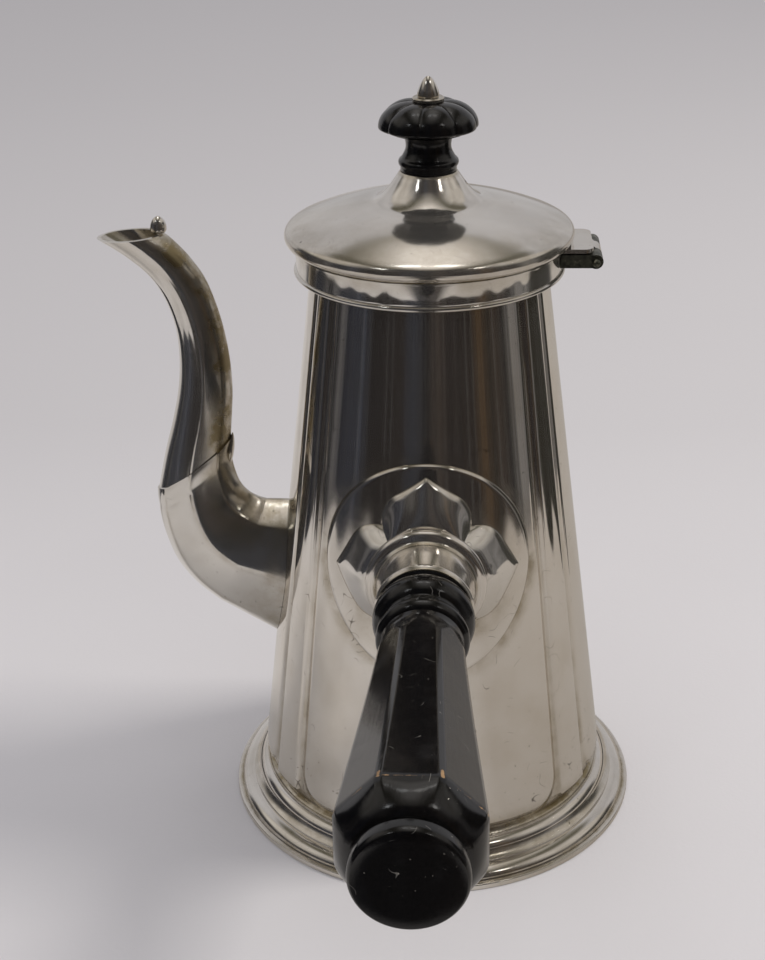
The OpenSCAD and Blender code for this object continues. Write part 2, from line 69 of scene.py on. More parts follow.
BODY_LOW, BODY_HIGH = box_mm("body_shell")
BODY_TOP_Z = BODY_HIGH[2]
BODY_TOP_R = ring_radius("body_shell", BODY_TOP_Z)
TAPER_Z = 15.0                       # where the straight taper starts
BODY_FOOT_R = ring_radius("body_shell", TAPER_Z)
FOOT_R = box_mm("foot_ring")[1][0]
FOOT_TOP_Z = box_mm("foot_ring")[1][2]
COLLAR_LOW, COLLAR_HIGH = box_mm("collar_band")
LID_LOW, LID_HIGH = box_mm("lid_dome")
KNOB_LOW, KNOB_HIGH = box_mm("knob_grip")
GRIP_LOW, GRIP_HIGH = box_mm("handle_grip")
PLATE_LOW, PLATE_HIGH = box_mm("handle_plate")
HANDLE_Z = (GRIP_LOW[2] + GRIP_HIGH[2]) / 2
PLATE_R = (PLATE_HIGH[2] - PLATE_LOW[2]) / 2
BENT_WIDTH = (PLATE_HIGH[0] - PLATE_LOW[0]) / 2 / PLATE_R     # the plate is bent round the wall
PLATE_T = 1.1
SOCKET_Y = -box_mm("handle_ring")[1][1]
RING_Y = -box_mm("handle_ferrule")[1][1]
FERRULE_Y = -box_mm("handle_ferrule")[0][1]
RING_R = box_mm("handle_ring")[1][0]


def body_r(z):
    """Radius of the body's panels at height z."""
    slope = (BODY_FOOT_R - BODY_TOP_R) / (BODY_TOP_Z - TAPER_Z)
    return BODY_TOP_R + slope * (BODY_TOP_Z - z)


# ---- Small tools ----

def smoothstep(low, high, value):
    t = min(max((value - low) / (high - low), 0.0), 1.0)
    return t * t * (3 - 2 * t)


def mix(a, b, t):
    return a + (b - a) * t


def arc(x, z, rx, rz, start, end, steps):
    """Points of an elliptical arc, angles in degrees."""
    angles = [math.radians(mix(start, end, i / steps)) for i in range(steps + 1)]
    return [(x + rx * math.cos(a), z + rz * math.sin(a)) for a in angles]


def spline(rows, steps):
    """Rows of numbers with "steps" smooth rows for each given one."""
    made, last = [], len(rows) - 1
    for k in range(last * steps + 1):
        i = min(k // steps, last - 1)
        t = k / steps - i
        p0, p1, p2, p3 = (rows[min(max(i + d, 0), last)] for d in (-1, 0, 1, 2))
        made.append(tuple(
            0.5 * (2 * b + (c - a) * t + (2 * a - 5 * b + 4 * c - d) * t * t
                   + (3 * b - a - 3 * c + d) * t ** 3)
            for a, b, c, d in zip(p0, p1, p2, p3)))
    return made


def upright(r, h, a):
    """A turned point about the pot's axis; angle 0 faces the handle and 90 degrees the hinge."""
    return (r * math.sin(a), -r * math.cos(a), h)


def sideways(r, h, a):
    """A turned point about the handle's axis; angle 0 is up and h is the distance from the pot's axis."""
    return (r * math.sin(a), -h, HANDLE_Z + r * math.cos(a))


def add_mesh(name, verts, faces, sharp=40, marks=None):
    """Makes a closed, smooth-shaded mesh from millimetre points. marks: {attribute: value for each point}."""
    mesh = bpy.data.meshes.new(name)
    mesh.from_pydata([Vector(v) * MM for v in verts], [], faces)
    for key, values in (marks or {}).items():
        mesh.attributes.new(key, "FLOAT", "POINT").data.foreach_set("value", values)
    work = bmesh.new()
    work.from_mesh(mesh)
    bmesh.ops.recalc_face_normals(work, faces=work.faces)
    work.to_mesh(mesh)
    work.free()
    mesh.polygons.foreach_set("use_smooth", [True] * len(mesh.polygons))
    mesh.set_sharp_from_angle(angle=math.radians(sharp))
    piece = bpy.data.objects.new(name, mesh)
    bpy.context.scene.collection.objects.link(piece)
    return piece


def grid_faces(rows, columns, start=0, around=True):
    """Quads between rows of points; "around" joins each row's last point to its first."""
    faces = []
    for i in range(rows - 1):
        for j in range(columns if around else columns - 1):
            k = (j + 1) % columns
            a, b = start + i * columns, start + (i + 1) * columns
            faces.append((a + j, a + k, b + k, b + j))
    return faces


def lathe(name, outline, steps=160, place=upright, warp=None, marks=None, sharp=40):
    """Turns a closed outline of (radius, height) points. A point on the axis becomes one vertex.

    warp(r, h, angle) may move a point, and marks is {attribute: rule(r, h, angle)}.
    """
    verts, rings, values = [], [], {key: [] for key in marks or {}}
    for r, h in outline:
        angles = [0.0] if r < 1e-6 else [TAU * j / steps for j in range(steps)]
        rings.append((len(verts), len(angles)))
        for a in angles:
            rr, hh = warp(r, h, a) if warp else (r, h)
            verts.append(place(rr, hh, a))
            for key in values:
                values[key].append(marks[key](r, h, a))
    faces = []
    pairs = list(zip(rings, rings[1:] + rings[:1]))
    for (a, na), (b, nb) in pairs:
        if na == 1 and nb == 1:
            continue
        for j in range(steps):
            k = (j + 1) % steps
            if na == 1:
                faces.append((a, b + k, b + j))
            elif nb == 1:
                faces.append((a + j, a + k, b))
            else:
                faces.append((a + j, a + k, b + k, b + j))
    return add_mesh(name, verts, faces, sharp, values)


# ---- Materials ----

class Graph:
    """Short calls for building a node tree."""

    def __init__(self, tree):
        self.tree = tree
        tree.nodes.clear()

    def plug(self, socket, value):
        if isinstance(value, bpy.types.NodeSocket):
            self.tree.links.new(value, socket)
        else:
            socket.default_value = value

    def node(self, kind, settings=None, **inputs):
        """A new node. An input is given by name, with _ for a space, or by place as i0, i1 and so on."""
        made = self.tree.nodes.new(kind)
        for key, value in (settings or {}).items():
            setattr(made, key, value)
        for key, value in inputs.items():
            by_place = key[0] == "i" and key[1:].isdigit()
            self.plug(made.inputs[int(key[1:]) if by_place else key.replace("_", " ")], value)
        return made

    def math(self, operation, a, b=0.0, clamp=False):
        settings = {"operation": operation, "use_clamp": clamp}
        return self.node("ShaderNodeMath", settings, i0=a, i1=b).outputs[0]

    def times(self, a, b, clamp=False):
        return self.math("MULTIPLY", a, b, clamp)

    def plus(self, a, b, clamp=False):
        return self.math("ADD", a, b, clamp)

    def ramp(self, value, *stops):
        """Colour ramp; each stop is (place, grey or colour)."""
        made = self.node("ShaderNodeValToRGB", None, i0=value)
        points = made.color_ramp.elements
        points.remove(points[1])
        points[0].position = stops[0][0]
        for place, _ in stops[1:]:
            points.new(place)
        for point, (_, colour) in zip(points, stops):
            point.color = (*colour, 1) if isinstance(colour, tuple) else (colour, colour, colour, 1)
        return made.outputs[0]

    def blend(self, factor, a, b):
        made = self.node("ShaderNodeMix", {"data_type": "RGBA"}, i0=factor)
        for socket, value in ((made.inputs[6], a), (made.inputs[7], b)):
            self.plug(socket, (*value, 1) if isinstance(value, tuple) else value)
        return made.outputs[2]

    def noise(self, coords, scale, detail=3.0, rough=0.5):
        settings = {"Vector": coords, "Scale": scale, "Detail": detail, "Roughness": rough}
        return self.node("ShaderNodeTexNoise", None, **settings).outputs[0]

    def noise_along(self, value, scale, detail, rough, row=0.0):
        """Noise that varies with one value only; another row gives another pattern."""
        coords = self.node("ShaderNodeCombineXYZ", None, X=value, Y=row).outputs[0]
        return self.noise(coords, scale, detail, rough)

    def scaled(self, coords, scale):
        return self.node("ShaderNodeMapping", None, Vector=coords, Scale=scale).outputs[0]

    def bump(self, height, strength, distance):
        made = self.node("ShaderNodeBump", None, Strength=strength, Distance=distance, Height=height)
        return made.outputs[0]

    def attribute(self, name):
        return self.node("ShaderNodeAttribute", {"attribute_name": name}).outputs["Fac"]

    def finish(self, shader, **inputs):
        """Puts a shader at the end of a material's tree."""
        made = self.node("ShaderNodeBsdf" + shader, None, **inputs)
        self.node("ShaderNodeOutputMaterial", None, Surface=made.outputs[0])


def new_material(name):
    material = bpy.data.materials.new(name)
    material.use_nodes = True
    return material, Graph(material.node_tree)


def nick_marks(g, coords, rare=0.60):
    """Short, curved nicks: thin bands of soft noise that show only where another noise is above "rare"."""
    curve = g.ramp(g.noise(coords, 260.0, 0.0), (0.490, 0.0), (0.5, 1.0), (0.510, 0.0))
    zone = g.ramp(g.noise(coords, 210.0, 1.0), (rare, 0.0), (rare + 0.04, 1.0))
    return g.times(curve, zone)


WARM_SILVER = (0.80, 0.765, 0.715)


def silver(name, tone=WARM_SILVER, rough=0.07, tarnish=0.5, haze=0.04, wave=0.25, nick=0.5, veil=0.04):
    """Old silver plate: mirror-like, with haze, nicks, pits and brown-yellow tarnish in the crevices."""
    material, g = new_material(name)
    coords = g.node("ShaderNodeTexCoord").outputs["Object"]
    patches = g.noise(coords, 55.0, 5.0, 0.6)
    fine = g.noise(coords, 420.0, 4.0, 0.65)
    pits = g.ramp(g.noise(coords, 900.0, 2.0), (0.70, 0.0), (0.76, 1.0))
    pit_zone = g.ramp(g.noise(coords, 38.0, 2.0), (0.46, 0.0), (0.62, 1.0))
    pits = g.times(pits, pit_zone)
    nicks = nick_marks(g, coords)
    patchy = g.ramp(g.noise(coords, 160.0, 4.0, 0.6), (0.35, 0.25), (0.65, 1.0))
    stain = g.times(g.times(g.attribute("tarnish"), patchy), tarnish * 1.6, True)
    general = g.times(g.ramp(patches, (0.5, 0.0), (0.8, 1.0)), 0.25 * tarnish)
    stain = g.plus(stain, general, True)
    dull = tuple(c * k for c, k in zip(tone, (0.95, 0.935, 0.91)))
    colour = g.blend(g.ramp(patches, (0.35, 0.0), (0.7, 1.0)), tone, dull)
    colour = g.blend(stain, colour, (0.33, 0.27, 0.16))
    colour = g.blend(g.times(pits, 0.75), colour, (0.12, 0.10, 0.08))
    colour = g.blend(g.times(nicks, nick), colour, (0.10, 0.085, 0.07))
    roughness = g.plus(rough, g.times(g.ramp(fine, (0.4, 0.0), (0.75, 1.0)), haze))
    roughness = g.plus(roughness, g.times(stain, 0.22), True)
    height = g.plus(g.times(g.noise(coords, 30.0, 1.0), wave), g.times(fine, 0.004))
    height = g.math("SUBTRACT", height, g.times(pits, 0.02))
    g.finish(
        "Principled", Base_Color=colour, Metallic=1.0 - veil, Roughness=roughness,
        Normal=g.bump(height, 0.35, 0.0005))
    return material


def dark_metal(name):
    """Plate painted nearly black in the hinge, as painted shade for its shadowed side; the lighter patches
    are wear.
    """
    material, g = new_material(name)
    coords = g.node("ShaderNodeTexCoord").outputs["Object"]
    patches = g.noise(coords, 700.0, 4.0, 0.6)
    # painted shade: near-black and brown for the hinge's shadowed faces; the lightest colour is wear
    black, brown, worn = (0.05, 0.05, 0.042), (0.13, 0.13, 0.10), (0.34, 0.32, 0.26)
    g.finish(
        "Principled", Base_Color=g.ramp(patches, (0.35, black), (0.6, brown), (0.78, worn)), Metallic=0.9,
        Normal=g.bump(patches, 0.4, 0.0002), Roughness=g.ramp(patches, (0.3, 0.45), (0.8, 0.25)))
    return material


def plain_steel(name):
    """Turned steel of the stud and its nuts."""
    material, g = new_material(name)
    coords = g.node("ShaderNodeTexCoord").outputs["Object"]
    rings = g.noise(g.scaled(coords, (0.2, 0.2, 6.0)), 400.0, 2.0)
    g.finish(
        "Principled", Metallic=1.0, Roughness=g.ramp(rings, (0.3, 0.3), (0.7, 0.45)),
        Base_Color=g.ramp(rings, (0.3, (0.42, 0.41, 0.39)), (0.7, (0.56, 0.55, 0.53))))
    return material


def ebony(name, along, rough, nick):
    """Glossy ebonised wood: faint grain along axis number "along", scuffs, and brown wood on worn corners."""
    material, g = new_material(name)
    coords = g.node("ShaderNodeTexCoord").outputs["Object"]
    grain_scale = tuple(0.06 if axis == along else 1.0 for axis in range(3))
    grain = g.noise(g.scaled(coords, grain_scale), 1400.0, 4.0, 0.6)
    wear = g.attribute("wear")
    crumbled = g.math("SUBTRACT", g.noise(coords, 500.0, 4.0, 0.7), 0.5)
    bare = g.ramp(g.plus(wear, g.times(crumbled, 1.1)), (0.66, 0.0), (0.80, 1.0))
    bare = g.times(bare, g.ramp(wear, (0.05, 0.0), (0.2, 1.0)))
    smears = g.ramp(g.noise(coords, 70.0, 5.0, 0.65), (0.52, 0.0), (0.72, 1.0))
    specks = g.ramp(g.noise(coords, 1300.0, 2.0), (0.735, 0.0), (0.76, 1.0))
    speck_zone = g.ramp(g.noise(coords, 60.0, 2.0), (0.55, 0.0), (0.65, 1.0))
    specks = g.times(specks, speck_zone)
    nicks = nick_marks(g, coords, 0.64)
    colour = g.ramp(grain, (0.3, (0.0015, 0.0015, 0.0018)), (0.7, (0.004, 0.0035, 0.0035)))
    colour = g.blend(g.times(smears, 0.025), colour, (0.20, 0.20, 0.21))
    colour = g.blend(g.times(nicks, nick), colour, (0.40, 0.38, 0.34))
    colour = g.blend(specks, colour, (0.45, 0.42, 0.36))
    wood = g.ramp(grain, (0.3, (0.20, 0.11, 0.05)), (0.7, (0.40, 0.25, 0.12)))
    colour = g.blend(bare, colour, wood)
    roughness = g.ramp(smears, (0.0, rough), (1.0, rough + 0.16))
    roughness = g.plus(roughness, g.times(bare, 0.35), True)
    height = g.plus(g.times(grain, 0.35), g.times(bare, -0.8))
    height = g.plus(height, g.times(g.noise(coords, 120.0, 3.0), 0.8))
    g.finish(
        "Principled", Base_Color=colour, Roughness=roughness, IOR=1.5, Coat_Weight=0.15, Coat_Roughness=0.08,
        Normal=g.bump(height, 0.3, 0.00022))
    return material


SILVER = silver("silver_plate", tone=(0.80, 0.775, 0.735))
SILVER_BODY = silver("silver_plate_body", rough=0.06, haze=0.03, nick=0.85, veil=0.02)
SILVER_SOFT = silver("silver_plate_soft", rough=0.10, haze=0.05, tarnish=0.7, nick=0.2)
SILVER_LID = silver("silver_plate_lid", rough=0.10, haze=0.03, tarnish=0.6, nick=0.2, veil=0.05)
HINGE_PAINTED_SHADE = dark_metal("dark_metal")
STEEL = plain_steel("plain_steel")
EBONY_HANDLE = ebony("ebonised_handle", along=1, rough=0.15, nick=0.4)
EBONY_KNOB = ebony("ebonised_knob", along=2, rough=0.2, nick=0.0)


def fit_out(piece, body, slot, material, *nodes):
    """Gives a piece its material and its body, and hides the CAD nodes that it stands for. The slot is not
    used.
    """
    piece.data.materials.clear()
    piece.data.materials.append(material)
    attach(piece, body)
    if nodes:
        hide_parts(*nodes)
    return piece


# ---- Body ----

PANEL_EDGE = 45.6        # degrees from the handle's direction to the front panel's edge
PILASTER_AT = 56.5
PILASTER_HALF = 6.9
SIDE_EDGE = 67.4
PANEL_BOTTOM_Z = 13.2
PANEL_CORNER = 8.0
GROOVE_DEPTH = 0.75
GROOVE_EDGE = 2.4        # how wide the slope from a panel into a groove is
BODY_WALL = 1.4
FOOT_ROUNDING_Z = 16.0   # below it the wall tucks in towards the foot


def round_box(x, half, above, corner):
    """Distance outside a strip with rounded lower corners: x across it, "above" its lower edge."""
    qx, qz = abs(x) - half + corner, corner - above
    return math.hypot(max(qx, 0), max(qz, 0)) + min(max(qx, qz), 0) - corner


def body_relief(z, a):
    """How far the wall stands out from the panels' cone, at height z and angle a (degrees)."""
    r = body_r(z)
    fold = abs((a + 180) % 360 - 180)
    fold = min(fold, 180 - fold)
    per_degree = math.radians(r)
    above = z - PANEL_BOTTOM_Z
    front = round_box(fold * per_degree, PANEL_EDGE * per_degree, above, PANEL_CORNER)
    side = round_box((90 - fold) * per_degree, (90 - SIDE_EDGE) * per_degree, above, PANEL_CORNER)
    panels = [-GROOVE_DEPTH * smoothstep(-0.25, GROOVE_EDGE, outside) for outside in (front, side)]
    across = (fold - PILASTER_AT) / PILASTER_HALF
    beside = smoothstep(-1.1, 0.9, (abs(across) - 1) * PILASTER_HALF * per_degree)
    below = smoothstep(0, 0.5, 0.6 - above)
    crown = 0.15 * (1 - min(across * across, 1)) + 0.3
    pilaster = mix(crown + rounding(z), -GROOVE_DEPTH, max(beside, below))
    return max(*panels, pilaster)


def rounding(z):
    """How far the panels tuck in above the foot."""
    return 1.5 * (max(FOOT_ROUNDING_Z - z, 0.0) / 5.8) ** 2


def body_outer(z, a):
    return body_r(z) - rounding(z) + body_relief(z, a)


def plate_gap(z, a):
    """Distance from the edge of the handle's plate, at a point of the wall."""
    if abs((a + 180) % 360 - 180) > 90:
        return 99.0
    return abs(math.hypot(body_r(z) * math.sin(math.radians(a)) / BENT_WIDTH, z - HANDLE_Z) - PLATE_R)


def build_body():
    low, high = BODY_LOW[2] + 0.8, BODY_TOP_Z - 0.3
    heights = [low + 0.55 * i for i in range(36)]
    start = heights[-1]
    heights += [mix(start, high, (i + 1) / 60) for i in range(60)]
    steps = 576
    verts, tarnish = [], []
    for z in heights:
        for j in range(steps):
            a = 360 * j / steps
            verts.append(upright(body_outer(z, a), z, math.radians(a)))
            near_foot = 1 - smoothstep(11.5, 17, z)
            groove = smoothstep(0.1, 0.55, -body_relief(z, a)) * (0.35 + 0.5 * (1 - smoothstep(14, 60, z)))
            edge = (1 - smoothstep(0.2, 4.0, plate_gap(z, a))) * (0.9 if z < HANDLE_Z else 0.4)
            tarnish.append(max(near_foot, groove, edge))
    for z in (high, (high + low) / 2, low + 6, low):
        inside = min(body_r(z), body_r(TAPER_Z)) - BODY_WALL - rounding(z)
        for j in range(steps):
            verts.append(upright(inside, z, TAU * j / steps))
            tarnish.append(0.6)
    rows = len(heights) + 4
    faces = grid_faces(rows, steps)
    last = (rows - 1) * steps
    faces += [(last + j, last + (j + 1) % steps, (j + 1) % steps, j) for j in range(steps)]
    piece = add_mesh("body_panelled_shell", verts, faces, 50, {"tarnish": tarnish})
    return fit_out(piece, "pot", "silver_plate", SILVER_BODY, "body_shell")


def build_foot():
    r = FOOT_R
    outline = [(r - 5, 0.0), (r - 0.35, 0.0)]
    outline += arc(r - 0.35, 0.35, 0.35, 0.35, -60, 0, 3)
    outline += arc(r - 0.35, 1.3, 0.35, 0.35, 0, 90, 4)
    outline += [(r - 1.2, 1.75)]
    outline += arc(r - 5.6, 1.85, 4.2, 2.6, 4, 82, 12)
    outline += arc(r - 5.35, 4.75, 0.42, 0.42, -40, 140, 6)
    outline += arc(r - 2.6, 8.9, 4.7, 4.3, 238, 205, 8)
    outline += arc(r - 10.6, 6.4, 3.7, 2.9, 0, 68, 8)
    outline += arc(r - 9.3, 9.55, 0.4, 0.4, -50, 130, 6)
    outline += [(r - 9.9, FOOT_TOP_Z - 0.3), (r - 10.8, FOOT_TOP_Z)]
    outline += [(r - 10.9, 8.5), (r - 9.6, 5.8), (r - 6.8, 3.0), (r - 5, 1.3)]

    def stain(radius, h, a):
        cove = math.exp(-((h - 6.0) / 0.9) ** 2) * 0.45
        top = smoothstep(9.3, 10.3, h)
        step = math.exp(-((radius - (r - 1.3)) / 0.5) ** 2) * 0.8
        return max(cove, top, step, 0.7 if h < 0.05 else 0)

    piece = lathe("foot_moulding", outline, 288, marks={"tarnish": stain})
    return fit_out(piece, "pot", "silver_plate", SILVER_SOFT, "foot_ring")


def build_collar():
    z0, z1 = COLLAR_LOW[2], COLLAR_HIGH[2]
    inner = body_r(z0) + 0.03
    bottom_r, top_r, wall = 33.2, COLLAR_HIGH[0], 1.3
    outline = [(inner, z0), (bottom_r - 0.2, z0), (bottom_r, z0 + 0.2)]
    hollow = [0.2 + 0.05 * i for i in range(15)]
    outline += [(bottom_r + 0.33 + (t - 0.62) * t, mix(z0, z1, t)) for t in hollow]
    outline += arc(top_r - 0.5, z1 - 0.4, 0.4, 0.4, 5, 90, 5)
    outline += [(top_r - wall, z1), (bottom_r - wall + 0.2, z0 + 1.4), (inner, z0 + 1.2)]

    def stain(r, h, a):
        return 0.8 * smoothstep(z1 - 0.8, z1, h) + 0.4 * smoothstep(z0 + 3, z1 - 1, h)

    piece = lathe("collar_band_plain", outline, 256, marks={"tarnish": stain})
    fit_out(piece, "pot", "silver_plate", SILVER, "collar_band")
    wire_r, wire_z, half = bottom_r + 0.22, z0 + 0.7, 0.62
    wire = [(wire_r, wire_z - half)] + arc(wire_r, wire_z, 0.68, half, -80, 80, 10)
    wire += [(wire_r + 0.04, wire_z + half)]
    piece = lathe("collar_wire_bead", wire, 256, marks={"tarnish": lambda r, h, a: 0.15})
    fit_out(piece, "pot", "silver_plate", SILVER, "collar_wire")


# ---- Spout ----

# Rows down the spout: x and z of the edge away from the body, x and z of the edge towards it, half width
SEAM = (-73.3, 90.4, -52.8, 104.9, 7.9)
NECK_ROWS = [
    (-83.9, 160.0, -67.2, 161.0, 6.2), (-77.2, 155.5, -64.4, 158.7, 5.7),
    (-71.4, 150.2, -60.3, 154.0, 5.3), (-67.8, 144.0, -56.6, 147.9, 5.3),
    (-65.6, 136.0, -53.6, 138.3, 5.5), (-65.2, 128.0, -52.0, 128.5, 5.9),
    (-66.0, 119.5, -51.6, 119.5, 6.4), (-68.0, 110.6, -52.1, 112.5, 7.0),
    (-70.8, 100.9, -52.5, 108.4, 7.5), SEAM,
]
ROOT_ROWS = [
    SEAM, (-73.6, 83.2, -52.7, 98.6, 8.6), (-72.2, 75.4, -51.2, 92.6, 9.3),
    (-69.4, 67.6, -48.9, 89.4, 10.0), (-64.8, 61.2, -46.3, 87.8, 10.7),
    (-58.8, 55.8, -44.0, 87.1, 11.3),
]
SPOUT_STEPS = 128
SPOUT_WALL = 1.1
ROOT_LOW_Z, ROOT_HIGH_Z, ROOT_HALF_WIDTH = 46.5, 87.0, 12.0


def corner_angle(a):
    """Degrees from the nearest of eight corners, which are at 0, 45, 90 degrees and so on."""
    return (math.degrees(a) + 22.5) % 45 - 22.5


def eight_sided(a, sharpness):
    """Radius factor of a circle pressed towards an octagon with soft corners."""
    fold = math.hypot(corner_angle(a), 3.0)
    flat = math.cos(math.radians(22.5)) / math.cos(math.radians(22.5 - fold))
    return mix(1.0, flat, sharpness)


def spout_point(row, a, inset, sharpness):
    middle = ((row[0] + row[2]) / 2, (row[1] + row[3]) / 2)
    half = ((row[0] - row[2]) / 2, (row[1] - row[3]) / 2)
    depth = math.hypot(*half)
    way = (half[0] / depth, half[1] / depth)
    factor = eight_sided(a, sharpness)
    along = (depth - inset) * math.cos(a) * factor
    return (middle[0] + way[0] * along, (row[4] - inset) * math.sin(a) * factor, middle[1] + way[1] * along)


def root_point(a, inset, sharpness):
    """Where the spout meets the body's tapered wall."""
    factor = eight_sided(a, sharpness)
    y = (ROOT_HALF_WIDTH - inset) * math.sin(a) * factor
    z = (ROOT_LOW_Z + ROOT_HIGH_Z) / 2 - ((ROOT_HIGH_Z - ROOT_LOW_Z) / 2 - inset) * math.cos(a) * factor
    return (-math.sqrt((body_r(z) + 0.05) ** 2 - y * y), y, z)


def crease(a):
    """1 on the spout's soft corners, falling to 0 beside them."""
    return math.exp(-(corner_angle(a) / 3.0) ** 2)


def inner_side(a):
    """1 on the side of the spout that faces the body, 0 on its outer half."""
    return smoothstep(0.1, 0.6, -math.cos(a))


def spout_tube(name, outer, inner, marks):
    rows, n = len(outer), SPOUT_STEPS
    verts = [p for ring in outer for p in ring] + [p for ring in reversed(inner) for p in ring]
    faces = grid_faces(2 * rows, n)
    last = (2 * rows - 1) * n
    faces += [(last + j, last + (j + 1) % n, (j + 1) % n, j) for j in range(n)]
    return add_mesh(name, verts, faces, 28, {"tarnish": marks})


def build_spout():
    angles = [TAU * j / SPOUT_STEPS for j in range(SPOUT_STEPS)]
    rows = spline(NECK_ROWS, 8)
    count = len(rows)
    sharp = [0.7 * smoothstep(10, 50, k) for k in range(count)]
    outer = [[spout_point(row, a, 0, s) for a in angles] for row, s in zip(rows, sharp)]
    inner = [[spout_point(row, a, SPOUT_WALL, s) for a in angles] for row, s in zip(rows, sharp)]

    def neck_stain(k, a):
        at_seam = 0.2 * smoothstep(count - 8, count, k)
        return max(at_seam, 0.35 * sharp[k] * crease(a), 1.5 * inner_side(a))

    marks = [neck_stain(k, a) for k in range(count) for a in angles]
    marks += [0.9] * len(marks)
    piece = spout_tube("spout_upper_neck", outer, inner, marks)
    fit_out(piece, "pot", "silver_plate", SILVER, "spout_neck")

    rows = spline(ROOT_ROWS, 8)
    bead = [0.6 * (1 - (k / 6) ** 2) if k < 6 else 0.0 for k in range(len(rows))]
    outer = [[spout_point(row, a, -out, 0.8) for a in angles] for row, out in zip(rows, bead)]
    inner = [[spout_point(row, a, SPOUT_WALL, 0.8) for a in angles] for row in rows]
    for tube, inset in ((outer, 0), (inner, SPOUT_WALL)):
        start, end = tube[-1], [root_point(a, inset, 0.6) for a in angles]
        for t in (0.25, 0.5, 0.75, 1.0):
            tube.append([tuple(mix(p, q, t) for p, q in zip(*pair)) for pair in zip(start, end)])
    count = len(outer)

    def root_stain(k, a):
        at_ends = max(0.2 * (1 - smoothstep(0, 5, k)), 0.7 * smoothstep(count - 5, count - 1, k))
        return max(at_ends, 0.5 * crease(a), 0.9 * inner_side(a))

    marks = [root_stain(k, a) for k in range(count) for a in angles]
    marks += [0.8] * len(marks)
    piece = spout_tube("spout_lower_root", outer, inner, marks)
    fit_out(piece, "pot", "silver_plate", SILVER, "spout_root")


def build_spout_trim():
    low, high = box_mm("spout_leaf")
    # share of the way down, half width, thickness
    leaf = [(0, 0.2, 0.1), (0.12, 0.9, 0.45), (0.35, 1.9, 0.75)]
    leaf += [(0.6, 2.4, 0.8), (0.85, 1.6, 0.55), (1, 0.3, 0.1)]
    top_x, foot_x = high[0] - 0.6, -53.6
    rows = spline([(mix(top_x, foot_x, t), mix(high[2], low[2], t), half, lift) for t, half, lift in leaf], 5)
    n = 24
    angles = [TAU * j / n for j in range(n)]
    verts = [(x + lift * math.cos(a), half * math.sin(a), z) for x, z, half, lift in rows for a in angles]
    faces = grid_faces(len(rows), n)
    faces += [tuple(range(n)), tuple((len(rows) - 1) * n + j for j in range(n))]
    piece = add_mesh("spout_leaf_spur", verts, faces, 60, {"tarnish": [0.4] * len(verts)})
    fit_out(piece, "pot", "silver_plate", SILVER_SOFT, "spout_leaf")

    low, high = box_mm("spout_bud")
    cx, z0, h = (low[0] + high[0]) / 2, low[2], high[2] - low[2]
    side = spline([(1.75, 0.02), (2.05, 0.15), (2.05, 0.38), (1.75, 0.64), (1.15, 0.86), (0.45, 0.98)], 4)
    outline = [(0, 0)] + [(r, t * h) for r, t in side] + [(0, h)]
    piece = lathe(
        "spout_bud_finial", outline, 40, lambda r, t, a: (cx + r * math.sin(a), r * math.cos(a), z0 + t),
        marks={"tarnish": lambda r, t, a: 0.7 * (1 - smoothstep(0, 0.3 * h, t))})
    fit_out(piece, "pot", "silver_plate", SILVER_SOFT, "spout_bud")


# ---- Handle ----

def wall_y(x, z, out):
    """Distance along -Y of a surface "out" millimetres outside the body's panels."""
    return math.sqrt((body_r(z) + out) ** 2 - x * x)


def wrapped(name, edge, rings, steps, narrow, top, bottom, marks):
    """A closed piece on the wall. A ring is a share of the way from the handle's axis to edge(angle)."""
    verts, values = [], []

    def ring(share, surface, value):
        for j in range(steps):
            a = TAU * j / steps
            reach = edge(a) * share
            x, z = reach * math.sin(a) * narrow(share, a), HANDLE_Z + reach * math.cos(a)
            verts.append((x, -surface(x, z, share, a), z))
            values.append(value(share, a))

    for share in rings:
        ring(share, top, marks)
    for share in reversed(rings):
        ring(share, bottom, lambda share, a: 0.8)
    rows = 2 * len(rings)
    faces = grid_faces(rows, steps)
    last = (rows - 1) * steps
    faces += [(last + j, last + (j + 1) % steps, (j + 1) % steps, j) for j in range(steps)]
    return add_mesh(name, verts, faces, 45, {"tarnish": values})


def build_plate():
    rings = [0.3 + 0.6 * i / 10 for i in range(11)]
    rings += [0.925, 0.94, 0.955, 0.965, 0.975, 0.985, 0.992, 0.997, 1.0]

    def top(x, z, share, a):
        rolled = 0.7 * max(0.0, (share - 0.965) / 0.035) ** 3
        return wall_y(x, z, PLATE_T - rolled)

    def stain(share, a):
        low = 0.55 - 0.45 * math.cos(a)
        return max(low * (1 - smoothstep(0.66, 0.98, share)), 0.6 * smoothstep(0.985, 1.0, share))

    piece = wrapped(
        "handle_plate_round", lambda a: PLATE_R, rings, 192, lambda share, a: BENT_WIDTH, top,
        lambda x, z, share, a: wall_y(x, z, 0.03), stain)
    fit_out(piece, "pot", "silver_plate", SILVER_BODY, "handle_plate")


PETAL_TIP = box_mm("handle_calyx")[1][2] - HANDLE_Z
PETAL_NOTCH = 17.5
PETAL_SLOPE = 0.58       # fall of a petal's two straight edges from its tip
PETAL_SHOULDER = 22.0    # degrees from a petal's middle to where it rounds into the notch


def petal_fold(a):
    """Degrees from the middle of the nearest petal."""
    return abs((math.degrees(a) + 45) % 90 - 45)


def petal_middle(a):
    """1 along the middle of a petal, 0 half way between two."""
    return math.cos(math.radians(2 * petal_fold(a)))


def petal_edge(a):
    """Distance from the handle's axis to the edge of the four pointed petals."""
    fold = petal_fold(a)
    turn = math.radians(fold)
    gable = PETAL_TIP / (math.cos(turn) + PETAL_SLOPE * math.sin(turn))
    at_notch = PETAL_TIP / (math.sqrt(0.5) * (1 + PETAL_SLOPE))
    share = max(fold - PETAL_SHOULDER, 0) / (45 - PETAL_SHOULDER)
    return gable * (1 - (1 - PETAL_NOTCH / at_notch) * share ** 2)


